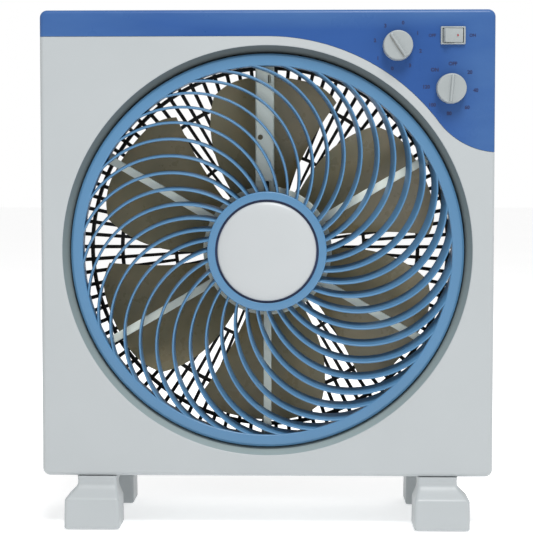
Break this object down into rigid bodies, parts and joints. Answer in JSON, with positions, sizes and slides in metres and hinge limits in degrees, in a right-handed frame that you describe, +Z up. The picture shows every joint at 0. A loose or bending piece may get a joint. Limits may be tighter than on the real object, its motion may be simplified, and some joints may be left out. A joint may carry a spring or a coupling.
{
  "type": "box fan",
  "caption": "Free-standing box fan: square plastic case on two feet, turning louver with curved vanes in a round front opening, bladed impeller, rear grille, corner control panel.",
  "frame": {"origin": "on the floor, under the middle of the case, at the bottom centre of the whole fan", "axes": "+Z up; -Y towards the user, out of the louver; +X to the right of someone who looks at the front"},
  "size_m": [0.398, 0.152, 0.4565],
  "materials": {
    "case_plastic": "satin moulded plastic",
    "panel_blue": "glossy moulded plastic",
    "louver_blue": "satin moulded plastic",
    "light_grey_plastic": "satin moulded plastic",
    "control_white": "satin moulded plastic",
    "smoky_blade": "glossy smoky plastic",
    "black_plastic": "matt moulded plastic",
    "lead_insulation": "PVC insulation",
    "motor_metal": "zinc-plated pressed steel",
    "steel": "zinc-plated or laminated steel",
    "winding_copper": "enamelled copper wire",
    "bearing_bronze": "sintered bronze",
    "foot_rubber": "soft rubber",
    "plate_silver": "blank foil plate"
  },
  "bodies": {
    "case": {"bracket_screw_1": "steel", "bracket_screw_2": "steel", "bracket_screw_3": "steel", "case_screw_1": "steel", "case_screw_2": "steel", "case_screw_3": "steel", "case_screw_4": "steel", "control_panel": "panel_blue", "cord_gland": "black_plastic", "foot_left": "case_plastic", "foot_pad_left_front": "foot_rubber", "foot_pad_left_rear": "foot_rubber", "foot_pad_right_front": "foot_rubber", "foot_pad_right_rear": "foot_rubber", "foot_right": "case_plastic", "foot_screw_1": "steel", "foot_screw_2": "steel", "foot_screw_3": "steel", "foot_screw_4": "steel", "front_bearing": "bearing_bronze", "front_shell": "case_plastic", "grille_screw_1": "steel", "grille_screw_2": "steel", "grille_screw_3": "steel", "grille_screw_4": "steel", "louver_bracket": "light_grey_plastic", "louver_motor_case": "motor_metal", "louver_motor_lead": "lead_insulation", "main_motor_lead": "lead_insulation", "motor_bolt_1": "steel", "motor_bolt_2": "steel", "motor_capacitor": "black_plastic", "motor_front_bell": "motor_metal", "motor_rear_bell": "motor_metal", "rating_plate": "plate_silver", "rear_bearing": "bearing_bronze", "rear_grille": "black_plastic", "rear_shell": "case_plastic", "rocker_housing": "control_white", "speed_body": "black_plastic", "stator_core": "steel", "stator_winding": "winding_copper", "terminal_block": "control_white", "timer_body": "black_plastic", "wire_duct_cover": "light_grey_plastic"},
    "rotor": {"impeller": "smoky_blade", "impeller_nut": "black_plastic", "motor_shaft": "steel", "motor_rotor": "steel", "drive_pin": "steel"},
    "louver": {"louver": "louver_blue", "louver_cap": "light_grey_plastic", "louver_nut": "steel", "louver_motor_shaft": "steel"},
    "timer_dial": {"timer_knob": "control_white", "timer_shaft": "steel"},
    "speed_dial": {"speed_knob": "control_white", "speed_shaft": "steel"},
    "rocker": {"rocker_button": "control_white"}
  },
  "joints": [
    {"name": "impeller_spin", "type": "hinge", "parent": "case", "child": "rotor", "pos_m": [0, 0, 0.2455], "axis": [0, 1, 0], "continuous": true},
    {"name": "louver_spin", "type": "hinge", "parent": "case", "child": "louver", "pos_m": [0, 0, 0.2455], "axis": [0, 1, 0], "continuous": true},
    {"name": "timer_turn", "type": "hinge", "parent": "case", "child": "timer_dial", "pos_m": [0.1603, 0, 0.3875], "axis": [0, 1, 0], "range_deg": [-45, 270]},
    {"name": "speed_turn", "type": "hinge", "parent": "case", "child": "speed_dial", "pos_m": [0.1139, 0, 0.4247], "axis": [0, 1, 0], "continuous": true},
    {"name": "rocker_tilt", "type": "hinge", "parent": "case", "child": "rocker", "pos_m": [0.1618, -0.0636, 0.4335], "axis": [0, 0, 1], "range_deg": [-20, 0]}
  ]
}
